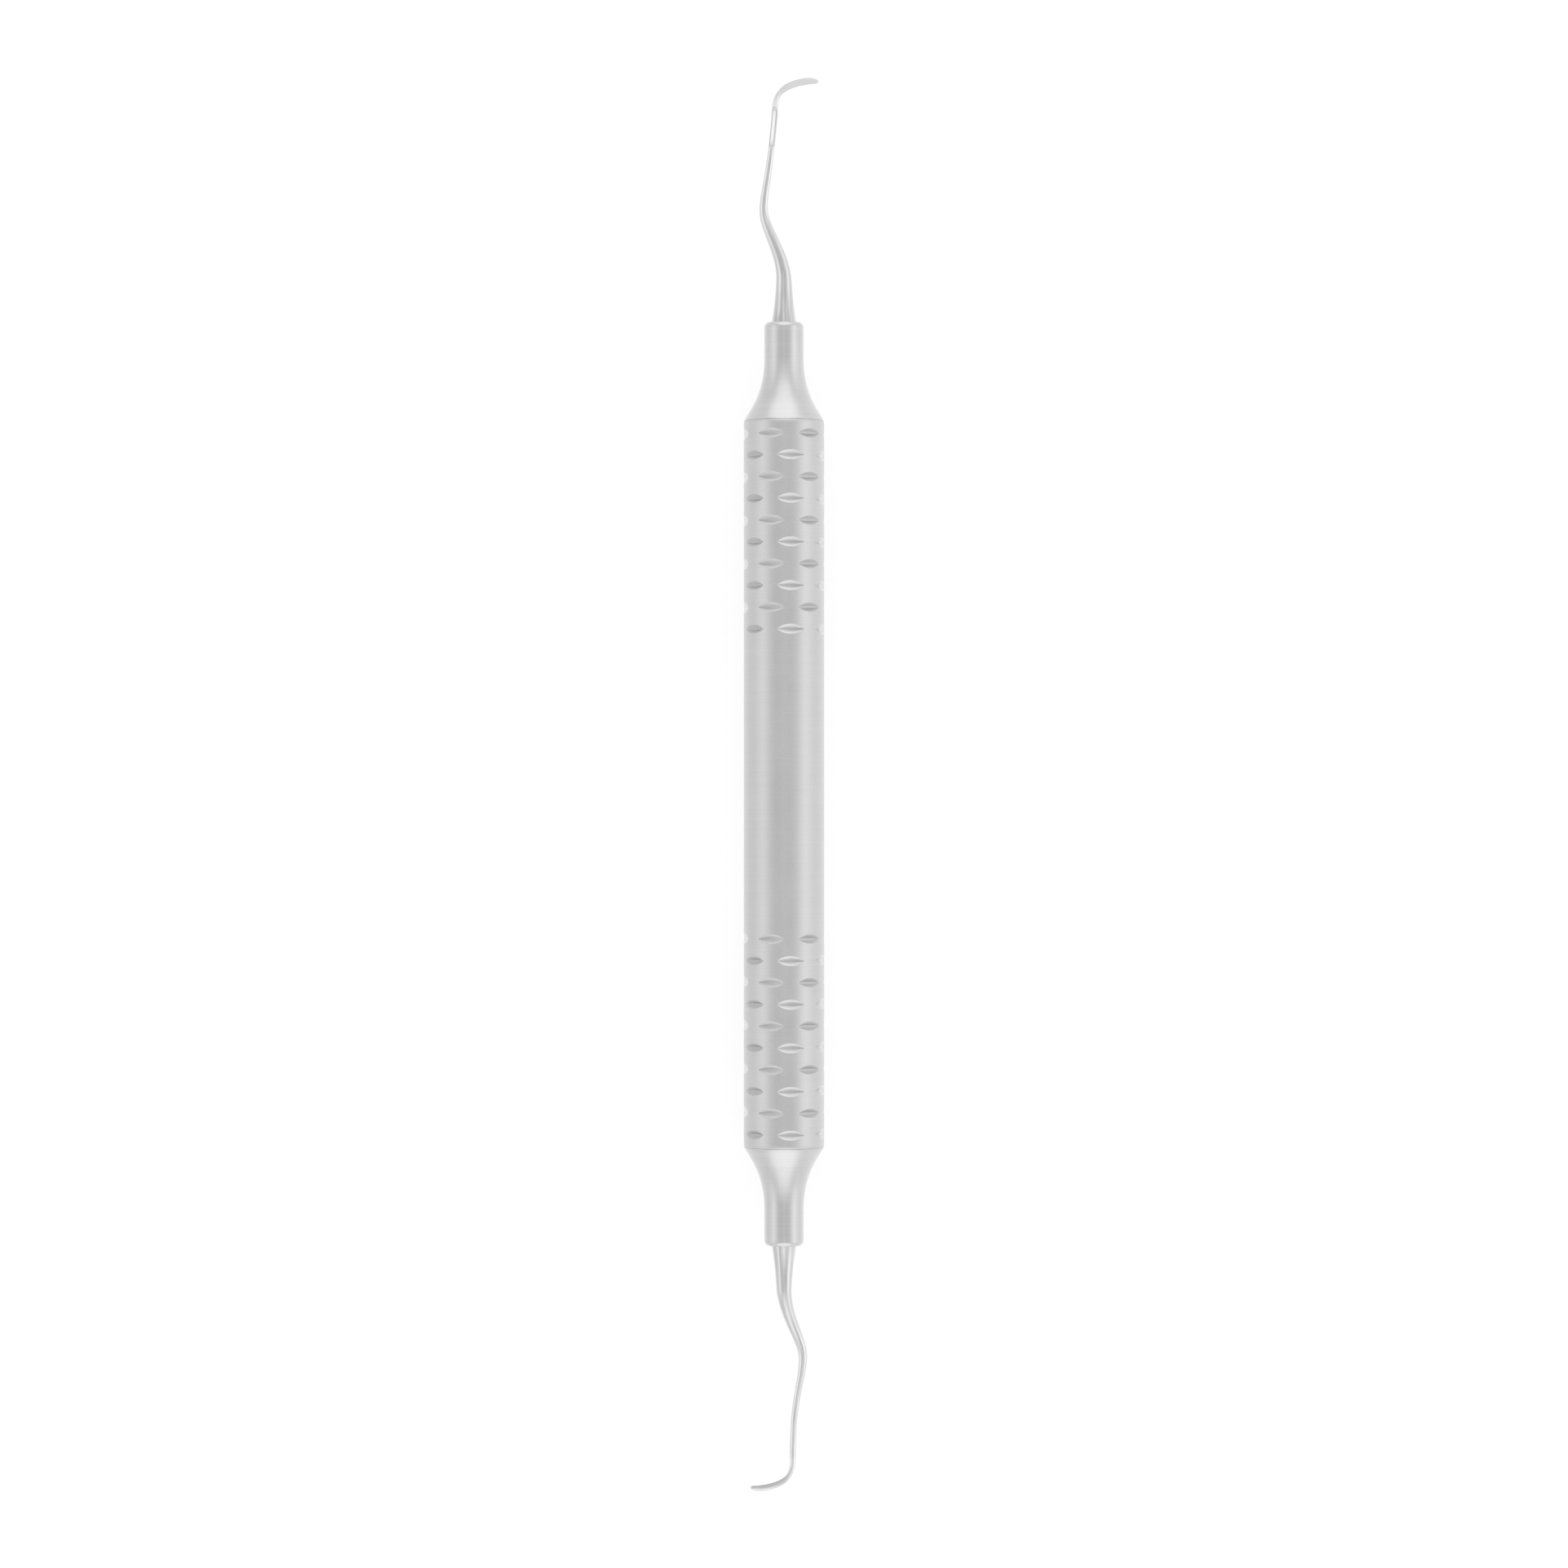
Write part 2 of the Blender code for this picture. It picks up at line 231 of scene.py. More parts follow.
def add_piece(name, mesh, material, node):
    piece = bpy.data.objects.new(name, mesh)
    bpy.context.scene.collection.objects.link(piece)
    piece.data.materials.append(material)
    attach(piece, "root")
    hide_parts(node)
    return piece


# ---- Handle ----
CUT_FLOOR_HEIGHT = HANDLE_RADIUS - CUT_DEPTH
CUT_STEP = 2 * math.pi / CUTS_PER_ROW
CUT_HALF_ANGLE = math.acos(CUT_FLOOR_HEIGHT / HANDLE_RADIUS)


def handle_angles():
    """Columns that meet the middle and both ends of every cut, in both kinds of row."""
    half = CUT_STEP / 2
    marks = [0, half - CUT_HALF_ANGLE, CUT_HALF_ANGLE, half]
    marks += [CUT_STEP - CUT_HALF_ANGLE, half + CUT_HALF_ANGLE, CUT_STEP]
    step = np.concatenate(
        [np.linspace(a, b, COLUMNS_PER_STRETCH, endpoint=False) for a, b in zip(marks, marks[1:])]
    )
    return np.concatenate([CUT_FIRST_ANGLE + cut * CUT_STEP + step for cut in range(CUTS_PER_ROW)])


def row_rings(centre, half_turned, reach_low, reach_high, angles):
    """Rings over one row of cuts, from just past reach_low up to reach_high.

    Each ring is how far along it is, its radius, how worn it is, its share of the cut's painted shade and
    glint, and its share of the painted shade in the cut's inner corner.
    """
    away = (angles - CUT_FIRST_ANGLE - half_turned * CUT_STEP / 2 + CUT_STEP / 2) % CUT_STEP
    away -= CUT_STEP / 2
    rise = np.maximum(HANDLE_RADIUS * np.cos(away) - CUT_FLOOR_HEIGHT, 0)
    in_cut = rise > 0
    fullness = (rise / CUT_DEPTH) ** CUT_FULLNESS
    floor = np.maximum(CUT_FLOOR_HALF_WIDTH * fullness, NARROWEST_STRIP)
    wall = np.maximum((CUT_MOUTH_HALF_WIDTH - CUT_FLOOR_HALF_WIDTH) * fullness, NARROWEST_STRIP)
    mouth = floor + wall
    crest = np.minimum(CREST_ROUNDING, wall / 4)
    worn_to = mouth + crest + (CREST_WEAR - crest) * 0.7
    # Painted shade in cuts on the handle's slopes, strongest at 45 degrees from the top, and a painted
    # glint in cuts at its sides.
    painted_glint_side = np.clip((SIDE_START - np.abs(np.cos(angles))) / SIDE_FADE, 0, 1)
    painted_slope_shade_side_glint = in_cut * (np.abs(np.sin(2 * angles)) * (1 - painted_glint_side) - SIDE_PAINTED_GLINT * painted_glint_side)
    none = np.zeros_like(angles)
    # Each ring: how far from the row's middle, how worn, how much of the cut's painted shade and glint it
    # takes, and whether it is the floor's edge, where the painted corner shade goes.
    inner = [
        (floor, 0.0, 1.0, 1.0),
        (floor + wall / 2, 0.0, 1.0, 0.0),
        (mouth - crest, WORN_SHARE, 1.0, 0.0),
        (mouth, 1.0, 0.5, 0.0),
        (mouth + crest, WORN_SHARE, 0.0, 0.0),
        (worn_to, 0.0, 0.0, 0.0),
    ]
    rings = []
    for side, reach in ((-1, reach_low), (1, reach_high)):
        outer = [(worn_to + (reach - worn_to) * t, 0.0, 0.0, 0.0) for t in (0.4, 0.8)]
        if side > 0:
            outer.append((none + reach, 0.0, 0.0, 0.0))
        # The side of the row towards the handle's middle gets the painted corner shade.
        painted_corner_side = side * centre < 0
        stretch = []
        for offset, worn, painted_cut_shade_glint, corner in inner + outer:
            height = CUT_FLOOR_HEIGHT + rise * np.clip((offset - floor) / wall, 0, 1)
            radius = np.where(in_cut, height / np.cos(away), HANDLE_RADIUS)
            if offset is mouth:
                radius = radius - rise * crest / wall / 4
            # Painted shade at the cut's inner corner, only in cuts on the slopes.
            corner = corner * painted_corner_side * np.maximum(painted_slope_shade_side_glint, 0)
            stretch.append((centre + side * offset, radius, worn * in_cut, painted_cut_shade_glint * painted_slope_shade_side_glint, corner))
        rings += stretch if side > 0 else stretch[::-1]
        if side < 0:
            bottom = np.where(in_cut, CUT_FLOOR_HEIGHT / np.cos(away), HANDLE_RADIUS)
            rings.append((none + centre, bottom, none, painted_slope_shade_side_glint, none))
    return rings


def tube_edge(side):
    """The rounded edge of the tube's end, from the full radius outwards, as (along, radius)."""
    start = HANDLE_HALF_LENGTH - HANDLE_EDGE_LENGTH
    shape = []
    for step in range(EDGE_STEPS + 1):
        t = step / EDGE_STEPS
        shape.append((side * (start + HANDLE_EDGE_LENGTH * t), HANDLE_RADIUS - HANDLE_EDGE_DROP * t**2))
    return shape


def handle_mesh():
    angles = handle_angles()
    flat = np.zeros_like(angles)

    def plain(along, radius):
        return (flat + along, flat + radius, flat, flat, flat)

    edge_start = HANDLE_HALF_LENGTH - HANDLE_EDGE_LENGTH
    half_pitch = GRIP_ROW_PITCH / 2
    last_row = GRIP_FIRST_ROW + (GRIP_ROWS - 1) * GRIP_ROW_PITCH
    rings = [plain(*point) for point in reversed(tube_edge(-1))]
    for row in range(GRIP_ROWS):
        centre = -last_row + row * GRIP_ROW_PITCH
        reach_low = edge_start - last_row if row == 0 else half_pitch
        rings += row_rings(centre, (GRIP_ROWS - 1 - row) % 2, reach_low, half_pitch, angles)
    plain_end = GRIP_FIRST_ROW - half_pitch
    rings += [plain(along, HANDLE_RADIUS) for along in np.linspace(-plain_end, plain_end, PLAIN_RINGS)[1:]]
    for row in range(GRIP_ROWS):
        centre = GRIP_FIRST_ROW + row * GRIP_ROW_PITCH
        reach_high = edge_start - last_row if row == GRIP_ROWS - 1 else half_pitch
        rings += row_rings(centre, (row + 1) % 2, half_pitch, reach_high, angles)
    rings += [plain(*point) for point in tube_edge(1)[1:]]
    bore_end = HANDLE_HALF_LENGTH - BORE_CHAMFER
    inner = [(HANDLE_HALF_LENGTH, BORE_RADIUS + BORE_CHAMFER), (bore_end, BORE_RADIUS)]
    rings += [plain(*point) for point in inner]
    rings += [plain(along, BORE_RADIUS) for along in np.linspace(1, -1, BORE_RINGS)[1:-1] * bore_end]
    rings += [plain(-along, radius) for along, radius in reversed(inner)]
    along, radius, worn, painted_cut_shade_glint, corner = (np.array(part) for part in zip(*rings))
    # Besides wear: the cuts' painted shade and glint, and the painted shade in their inner corners.
    attributes = {"worn": worn, "painted_cut_shade_glint": painted_cut_shade_glint, "corner": corner}
    return skin("handle", around(along, radius, angles), True, attributes)


# ---- End cones ----
def curve_between(start, corner, end, steps):
    """A parabola from start to end that is tangent to the lines through corner."""
    start, corner, end = (np.array(point) for point in (start, corner, end))
    t = np.linspace(0, 1, steps + 1)[:, None]
    return [tuple(point) for point in (1 - t) ** 2 * start + 2 * t * (1 - t) * corner + t**2 * end]


def cone_profile():
    """(along, radius) round the cone's wall: spigot, shoulder, flare, neck, lip and tang bore."""
    bore = SHANK_BASE_RADIUS + JOINT_GAP
    shoulder = HANDLE_HALF_LENGTH + JOINT_GAP
    rim = HANDLE_RADIUS - SHOULDER_DROP
    flare_start = shoulder + SHOULDER_BLEND
    flare_start_radius = FLARE_END_RADIUS + (FLARE_END - flare_start) * FLARE_SLOPE
    rim_curve = curve_between(
        (shoulder + 0.01 * MM, rim - 0.004 * MM),
        (shoulder + 0.06 * MM, rim - 0.012 * MM),
        (flare_start, flare_start_radius),
        SHOULDER_STEPS,
    )
    flare = [
        (along, FLARE_END_RADIUS + (FLARE_END - along) * FLARE_SLOPE)
        for along in np.linspace(flare_start, FLARE_END, FLARE_STEPS)[1:-1]
    ]
    fillet_corner = (FLARE_END + (FLARE_END_RADIUS - NECK_RADIUS) / FLARE_SLOPE, NECK_RADIUS)
    fillet = curve_between(
        (FLARE_END, FLARE_END_RADIUS),
        fillet_corner,
        (NECK_START, NECK_RADIUS),
        NECK_STEPS,
    )
    lip_start = NECK_END - LIP_ROUNDING
    neck = [(along, NECK_RADIUS) for along in np.linspace(NECK_START, lip_start, FLARE_STEPS)[1:-1]]
    lip = []
    for turn in np.linspace(0, math.pi / 2, LIP_STEPS + 1):
        radius = NECK_RADIUS - LIP_ROUNDING * (1 - math.cos(turn))
        lip.append((lip_start + LIP_ROUNDING * math.sin(turn), radius))
    return [
        (SPIGOT_END, bore),
        (SPIGOT_END, SPIGOT_RADIUS - SPIGOT_LEAD_IN),
        (SPIGOT_END + SPIGOT_LEAD_IN, SPIGOT_RADIUS),
        (shoulder, SPIGOT_RADIUS),
        (shoulder, rim - 0.02 * MM),
        *rim_curve,
        *flare,
        *fillet,
        *neck,
        *lip,
        (NECK_END, bore),
    ]


def cone_mesh(name, end):
    profile = np.array(cone_profile())
    angles = np.linspace(0, 2 * math.pi, CONE_COLUMNS, endpoint=False)
    rings = around(profile[:, :1], profile[:, 1:], angles[None, :])
    return skin(name, rings * (end, 1, 1), True)


# ---- Working ends ----
def through_stations(rows, steps=12):
    """Rows on a smooth curve through the given ones."""
    lengths = np.linalg.norm(np.diff(rows[:, :3], axis=0), axis=1)
    at = np.concatenate([[0.0], np.cumsum(lengths)])
    slopes = np.gradient(rows, at, axis=0)
    smooth = []
    for i, length in enumerate(lengths):
        for t in np.arange(steps) / steps:
            smooth.append(
                (2 * t**3 - 3 * t**2 + 1) * rows[i]
                + (t**3 - 2 * t**2 + t) * length * slopes[i]
                + (3 * t**2 - 2 * t**3) * rows[i + 1]
                + (t**3 - t**2) * length * slopes[i + 1]
            )
    return np.array(smooth + [rows[-1]])


def read_at(rows, at, where):
    return np.stack([np.interp(where, at, column) for column in rows.T], axis=1)


def length_along(rows):
    return np.concatenate([[0.0], np.cumsum(np.linalg.norm(np.diff(rows[:, :3], axis=0), axis=1))])


def working_end_rows():
    """Evenly spaced, smoothed rows from the neck to the toe, with the toe's rounding."""
    rows = through_stations(np.array(WORKING_END_STATIONS))
    at = length_along(rows)
    even = np.linspace(0, at[-1], round(at[-1] / RING_STEP) + 1)
    rows = read_at(rows, at, even)
    reach = math.ceil(3 * SMOOTHING / RING_STEP)
    weights = np.exp(-0.5 * (np.arange(-reach, reach + 1) * RING_STEP / SMOOTHING) ** 2)
    weights /= weights.sum()
    before = 2 * rows[0] - rows[reach:0:-1]
    after = 2 * rows[-1] - rows[-2 : -reach - 2 : -1]
    padded = np.vstack([before, rows, after])
    rows = np.stack([np.convolve(column, weights, "valid") for column in padded.T], axis=1)
    at = length_along(rows)
    body = at[-1] - TOE_LENGTH
    turns = np.linspace(0, TOE_TURN, TOE_RINGS)
    where = np.concatenate([at[at < body - RING_STEP / 2], body + TOE_LENGTH * np.sin(turns)])
    rows = read_at(rows, at, where)
    into_toe = np.clip((where - body) / TOE_LENGTH, 0, 1)
    rows[:, 3:5] *= ((1 - into_toe**TOE_POWER) ** (1 / TOE_POWER))[:, None]
    rows[:, 5] = rows[:, 5].clip(0, 1)
    return rows


def tang_rows():
    """The tang inside the neck, with two ring grooves, in the stations' columns."""
    base = SHANK_BASE_RADIUS
    bottom = base - TANG_GROOVE_DEPTH
    rings = [(TANG_END, base - TANG_LEAD_IN), (TANG_END + TANG_LEAD_IN, base)]
    for groove in TANG_GROOVES:
        near = TANG_END + groove
        far = near + TANG_GROOVE_WIDTH
        rings += [(near, base), (near + TANG_GROOVE_DEPTH, bottom)]
        rings += [(far - TANG_GROOVE_DEPTH, bottom), (far, base)]
    return np.array([(along / MM, 0, 0, radius / MM, radius / MM, 0) for along, radius in rings])


def working_end_mesh(name, opposite_hand):
    rows = np.vstack([tang_rows(), working_end_rows()])
    along, sideways, up, half_width, depth, bladed = (column[:, None] for column in rows.T)
    path = np.hstack([along, -sideways, up])
    tangent = np.gradient(path, axis=0)
    tangent /= np.linalg.norm(tangent, axis=1, keepdims=True)
    inward = np.cross(tangent, (0, 0, 1))
    inward /= np.linalg.norm(inward, axis=1, keepdims=True)
    lift = np.cross(inward, tangent)
    face = inward * math.cos(FACE_TILT) + lift * math.sin(FACE_TILT)
    width = lift * math.cos(FACE_TILT) - inward * math.sin(FACE_TILT)
    angle = np.linspace(0, 2 * math.pi, SECTION_COLUMNS, endpoint=False)[None, :]
    across = half_width * np.cos(angle)
    back = 1 - np.abs(np.cos(angle)) ** BACK_POWER
    front_rise = half_width * (1 - bladed) * np.sin(angle)
    back_rise = -depth * ((1 - bladed) * np.abs(np.sin(angle)) + bladed * back)
    rise = np.where(np.sin(angle) >= 0, front_rise, back_rise)
    offsets = width[:, None] * across[..., None] + face[:, None] * rise[..., None]
    run_in = np.clip((along - FLAT_START) / FLAT_RUN_IN, 0, 1)
    run_out = np.clip((FLAT_END - along) / FLAT_RUN_OUT, 0, 1)
    flat_share = np.minimum(run_in, run_out)
    limit = half_width * (1 - FLAT_DEPTH * flat_share)
    height = (offsets * lift[:, None]).sum(axis=2)
    cut_away = np.where(flat_share > 0, np.maximum(height - limit, 0), 0)
    offsets -= cut_away[..., None] * lift[:, None]
    rings = path[:, None] + offsets
    # Painted shade along the flat's edges, and painted highlight on the flat itself.
    painted_flat_edge_shade = np.clip(1 - (limit - height) / (FLAT_EDGE_PAINTED_SHADE_WIDTH * half_width), 0, 1) * (flat_share > 0)
    flat = np.where((cut_away > 0) & (run_in == 1), flat_share, -painted_flat_edge_shade * np.sqrt(flat_share))
    rings = rings * MM * (-1 if opposite_hand else 1)
    turn = Matrix.Rotation(PRESSED_IN_TURN if opposite_hand else -PRESSED_IN_TURN, 3, "X")
    rings = rings @ np.array(turn).T + (0, 0, AXIS_HEIGHT)
    attributes = end_attributes(rows, angle, height / half_width, flat, opposite_hand)
    return skin(name, rings, False, attributes)


def end_attributes(rows, angle, side, flat, opposite_hand):
    """What polished_steel reads at each point. side is 1 on top of the shank and -1 underneath."""
    along, bladed = rows[:, :1], np.clip(rows[:, 5:6], 0, 1)
    even = np.zeros_like(side)
    satin = np.clip((along - SATIN_START) / SATIN_FADE, 0, 1)
    painted_slender_highlight = np.clip((along - SLENDER_START) / SLENDER_FADE, 0, 1) * (1 - bladed)
    root = np.clip((ROOT_END - along) / ROOT_FADE, 0, 1) * (0.0 if opposite_hand else 1.0)
    return {
        "run": length_along(rows)[:, None] + even,
        "round_x": np.cos(angle) + even,
        "round_y": np.sin(angle) + even,
        "satin": satin + even,
        # Painted highlight on the flat.
        "flat": np.maximum(flat, 0),
        # Painted shade along the flat's edges.
        "painted_flat_edge_shade": np.maximum(-flat, 0),
        # Painted highlight on the turn into the hook.
        "painted_bend_highlight": satin * (1 - bladed) + even,
        # Painted highlight on the thin part of the shank.
        "painted_slender_highlight": painted_slender_highlight + even,
        # Painted shade on top of the upper shank's root, at one end only.
        "root": root * np.clip((side - ROOT_SIDE) / ROOT_SIDE_FADE, 0, 1),
    }


# ---- Materials ----
class Nodes:
    """A material's node tree, with short ways to add and join its nodes."""

    def __init__(self, name):
        self.material = bpy.data.materials.new(name)
        self.material.use_nodes = True
        self.tree = self.material.node_tree
        self.shader = self.tree.nodes["Principled BSDF"]
        self.shader.inputs["Metallic"].default_value = 1.0

    def add(self, kind, settings=None, **inputs):
        node = self.tree.nodes.new("ShaderNode" + kind)
        for key, value in (settings or {}).items():
            setattr(node, key, value)
        for key, value in inputs.items():
            self.set(node.inputs[key.replace("_", " ")], value)
        return node

    def set(self, socket, value):
        if isinstance(value, bpy.types.NodeSocket):
            self.tree.links.new(value, socket)
        else:
            socket.default_value = value

    def place(self, scale):
        """The object's own coordinates, scaled along each axis."""
        coordinates = self.add("TexCoord")
        mapping = self.add("Mapping")
        self.set(mapping.inputs["Vector"], coordinates.outputs["Object"])
        self.set(mapping.inputs["Scale"], scale)
        return mapping.outputs["Vector"]

    def noise(self, vector, scale=1.0, detail=2.0, roughness=0.5):
        node = self.add("TexNoise", Vector=vector, Scale=scale, Detail=detail, Roughness=roughness)
        return node.outputs["Fac"]

    def ramp(self, value, low, high, from_low=0.3, from_high=0.7):
        node = self.add("MapRange")
        self.set(node.inputs["Value"], value)
        limits = {"From Min": from_low, "From Max": from_high, "To Min": low, "To Max": high}
        for key, limit in limits.items():
            self.set(node.inputs[key], limit)
        return node.outputs["Result"]

    def math(self, operation, a, b=0.0):
        node = self.add("Math", {"operation": operation})
        self.set(node.inputs[0], a)
        self.set(node.inputs[1], b)
        return node.outputs["Value"]

    def attribute(self, name):
        return self.add("Attribute", {"attribute_name": name}).outputs["Fac"]

    def add_share(self, total, value, share):
        """The total with a share of the value added to it."""
        return self.math("ADD", total, self.math("MULTIPLY", value, share))

    def stretched(self, run_scale, round_scale):
        """Coordinates that follow the shank: along it, and round it without a seam."""
        combined = self.add("CombineXYZ")
        self.set(combined.inputs["X"], self.math("MULTIPLY", self.attribute("run"), run_scale))
        self.set(combined.inputs["Y"], self.math("MULTIPLY", self.attribute("round_x"), round_scale))
        self.set(combined.inputs["Z"], self.math("MULTIPLY", self.attribute("round_y"), round_scale))
        return combined.outputs["Vector"]

    def grey(self, value):
        node = self.add("CombineColor")
        for key in ("Red", "Green", "Blue"):
            self.set(node.inputs[key], value)
        return node.outputs["Color"]

    def bump(self, height, strength, distance, normal=None):
        node = self.add("Bump", Height=height, Strength=strength, Distance=distance)
        if normal is not None:
            self.set(node.inputs["Normal"], normal)
        return node.outputs["Normal"]

    def finish(self, colour, roughness, normal):
        self.set(self.shader.inputs["Base Color"], colour)
        self.set(self.shader.inputs["Roughness"], roughness)
        self.set(self.shader.inputs["Normal"], normal)
        return self.material


GRAIN_SCALE = 9000  # of the fine blasted or ground grain, per metre

# How much each thing on the surface adds to its shade or its roughness.
WORN_SHADE = 0.06
# Painted shade in cuts on the handle's slopes, and a painted glint in cuts at its sides.
CUT_PAINTED_SHADE_GLINT = -0.13
# Painted shade in the cuts' inner corners.
CORNER_PAINTED_SHADE = -0.20
WORN_ROUGHNESS = -0.08
STREAK_SHADE = 0.10
ROOT_PAINTED_SHADES = (0.34, 0.06)  # painted shade taken off the root, from the darkest streak to the lightest
# Painted highlight on the shank's flat.
FLAT_PAINTED_HIGHLIGHT = 0.15
# Painted highlight on the thin part of the shank.
SLENDER_PAINTED_HIGHLIGHT = 0.10
# Painted highlight on the turn into the hook.
BEND_PAINTED_HIGHLIGHT = 0.10
# Painted shade along the flat's edges.
EDGE_PAINTED_SHADE = -0.34
SATIN_ROUGHNESS = 0.16


def satin_steel():
    """Bead-blasted steel: an even grain over faint turning lines, lighter on worn edges; painted shade in
    cuts on the slopes and in their inner corners, a painted glint in cuts at the sides.
    """
    nodes = Nodes("satin_steel")
    grain = nodes.noise(nodes.place((1, 1, 1)), scale=GRAIN_SCALE, detail=2)
    cloud = nodes.noise(nodes.place((1, 1, 1)), scale=260, detail=3)
    lines = nodes.noise(nodes.place((5200, 90, 90)), detail=3, roughness=0.6)
    worn, painted_cut_shade_glint, corner = (nodes.attribute(name) for name in ("worn", "painted_cut_shade_glint", "corner"))
    shade = nodes.math("ADD", nodes.ramp(grain, 0.715, 0.765), nodes.ramp(cloud, -0.012, 0.012))
    shade = nodes.math("ADD", shade, nodes.ramp(lines, -0.012, 0.012))
    shade = nodes.add_share(shade, worn, WORN_SHADE)
    # Painted shade in cuts on the slopes, and a painted glint in cuts at the sides.
    shade = nodes.add_share(shade, painted_cut_shade_glint, CUT_PAINTED_SHADE_GLINT)
    # Painted shade in the cuts' inner corners.
    shade = nodes.add_share(shade, nodes.math("POWER", corner, 2.0), CORNER_PAINTED_SHADE)
    roughness = nodes.math("ADD", nodes.ramp(grain, 0.35, 0.41), nodes.ramp(cloud, -0.015, 0.015))
    roughness = nodes.add_share(roughness, worn, WORN_ROUGHNESS)
    normal = nodes.bump(lines, 0.10, 0.004 * MM)
    normal = nodes.bump(grain, 0.22, 0.006 * MM, normal)
    return nodes.finish(nodes.grey(shade), roughness, normal)


def turned_steel():
    """Finely turned steel, with lines round the axis."""
    nodes = Nodes("turned_steel")
    grain = nodes.noise(nodes.place((1, 1, 1)), scale=GRAIN_SCALE, detail=2)
    cloud = nodes.noise(nodes.place((1, 1, 1)), scale=320, detail=3)
    lines = nodes.noise(nodes.place((9000, 60, 60)), detail=3, roughness=0.6)
    shade = nodes.math("ADD", nodes.ramp(lines, 0.735, 0.785), nodes.ramp(cloud, -0.01, 0.01))
    roughness = nodes.math("ADD", nodes.ramp(lines, 0.30, 0.36), nodes.ramp(cloud, -0.015, 0.015))
    normal = nodes.bump(lines, 0.16, 0.004 * MM)
    normal = nodes.bump(grain, 0.10, 0.004 * MM, normal)
    return nodes.finish(nodes.grey(shade), roughness, normal)


def polished_steel():
    """Polished steel, streaked along the shank, with a ground satin hook and a flat before it; painted
    highlight on the flat, the thin shank and the turn into the hook, painted shade on the flat's edges and
    the upper shank's root.
    """
    nodes = Nodes("polished_steel")
    scratches = nodes.noise(nodes.stretched(0.35, 14), detail=4, roughness=0.6)
    streaks = nodes.noise(nodes.stretched(0.12, 3.6), detail=2, roughness=0.6)
    cloud = nodes.noise(nodes.place((1, 1, 1)), scale=500, detail=3)
    satin, flat, painted_flat_edge_shade = (nodes.attribute(name) for name in ("satin", "flat", "painted_flat_edge_shade"))
    painted_bend_highlight, painted_slender_highlight, root = (nodes.attribute(name) for name in ("painted_bend_highlight", "painted_slender_highlight", "root"))
    polish = nodes.math("SUBTRACT", 1.0, satin)
    # Painted streaky shade on the upper shank's root.
    painted_root_shade = nodes.math("MULTIPLY", nodes.ramp(streaks, *ROOT_PAINTED_SHADES), root)
    shade = nodes.math("ADD", nodes.ramp(scratches, 0.77, 0.83), nodes.ramp(cloud, -0.012, 0.012))
    shade = nodes.add_share(shade, nodes.ramp(streaks, -STREAK_SHADE, STREAK_SHADE), polish)
    shade = nodes.math("SUBTRACT", shade, painted_root_shade)
    # Painted highlight on the flat.
    shade = nodes.add_share(shade, flat, FLAT_PAINTED_HIGHLIGHT)
    # Painted highlight on the thin shank.
    shade = nodes.add_share(shade, painted_slender_highlight, SLENDER_PAINTED_HIGHLIGHT)
    # Painted highlight on the turn into the hook.
    shade = nodes.add_share(shade, painted_bend_highlight, BEND_PAINTED_HIGHLIGHT)
    # Painted shade along the flat's edges.
    shade = nodes.add_share(shade, painted_flat_edge_shade, EDGE_PAINTED_SHADE)
    shade = nodes.math("MINIMUM", shade, 1.0)
    roughness = nodes.math("ADD", nodes.ramp(scratches, 0.10, 0.16), nodes.ramp(cloud, -0.02, 0.02))
    roughness = nodes.add_share(roughness, satin, SATIN_ROUGHNESS)
    normal = nodes.bump(scratches, 0.12, 0.004 * MM)
    return nodes.finish(nodes.grey(shade), roughness, normal)


# ---- Camera, floor and light ----
def add_camera():
    data = bpy.data.cameras.new("camera")
    data.sensor_width = SENSOR_WIDTH
    data.lens = SENSOR_WIDTH * CAMERA_DISTANCE / VIEW_WIDTH
    camera = bpy.data.objects.new("camera", data)
    bpy.context.scene.collection.objects.link(camera)
    camera.location = (0, 0, AXIS_HEIGHT + CAMERA_DISTANCE)
    camera.rotation_euler = (0, 0, -math.pi / 2)
    bpy.context.scene.camera = camera


def add_floor():
    """A plain pale floor that glows a little, so that it keeps only a faint shadow."""
    half = FLOOR_SIZE / 2
    mesh = bpy.data.meshes.new("floor")
    corners = [(-half, -half, 0), (half, -half, 0), (half, half, 0), (-half, half, 0)]
    mesh.from_pydata(corners, [], [(0, 1, 2, 3)])
    floor = bpy.data.objects.new("floor", mesh)
    floor.location.z = -FLOOR_DROP
    bpy.context.scene.collection.objects.link(floor)
    material = bpy.data.materials.new("floor")
    material.use_nodes = True
    shader = material.node_tree.nodes["Principled BSDF"]
    shader.inputs["Base Color"].default_value = (FLOOR_SHADE, FLOOR_SHADE, FLOOR_SHADE, 1)
    shader.inputs["Roughness"].default_value = 1.0
    shader.inputs["Specular IOR Level"].default_value = 0.0
    shader.inputs["Emission Color"].default_value = (1, 1, 1, 1)
    shader.inputs["Emission Strength"].default_value = FLOOR_GLOW
    mesh.materials.append(material)
    floor.visible_glossy = False


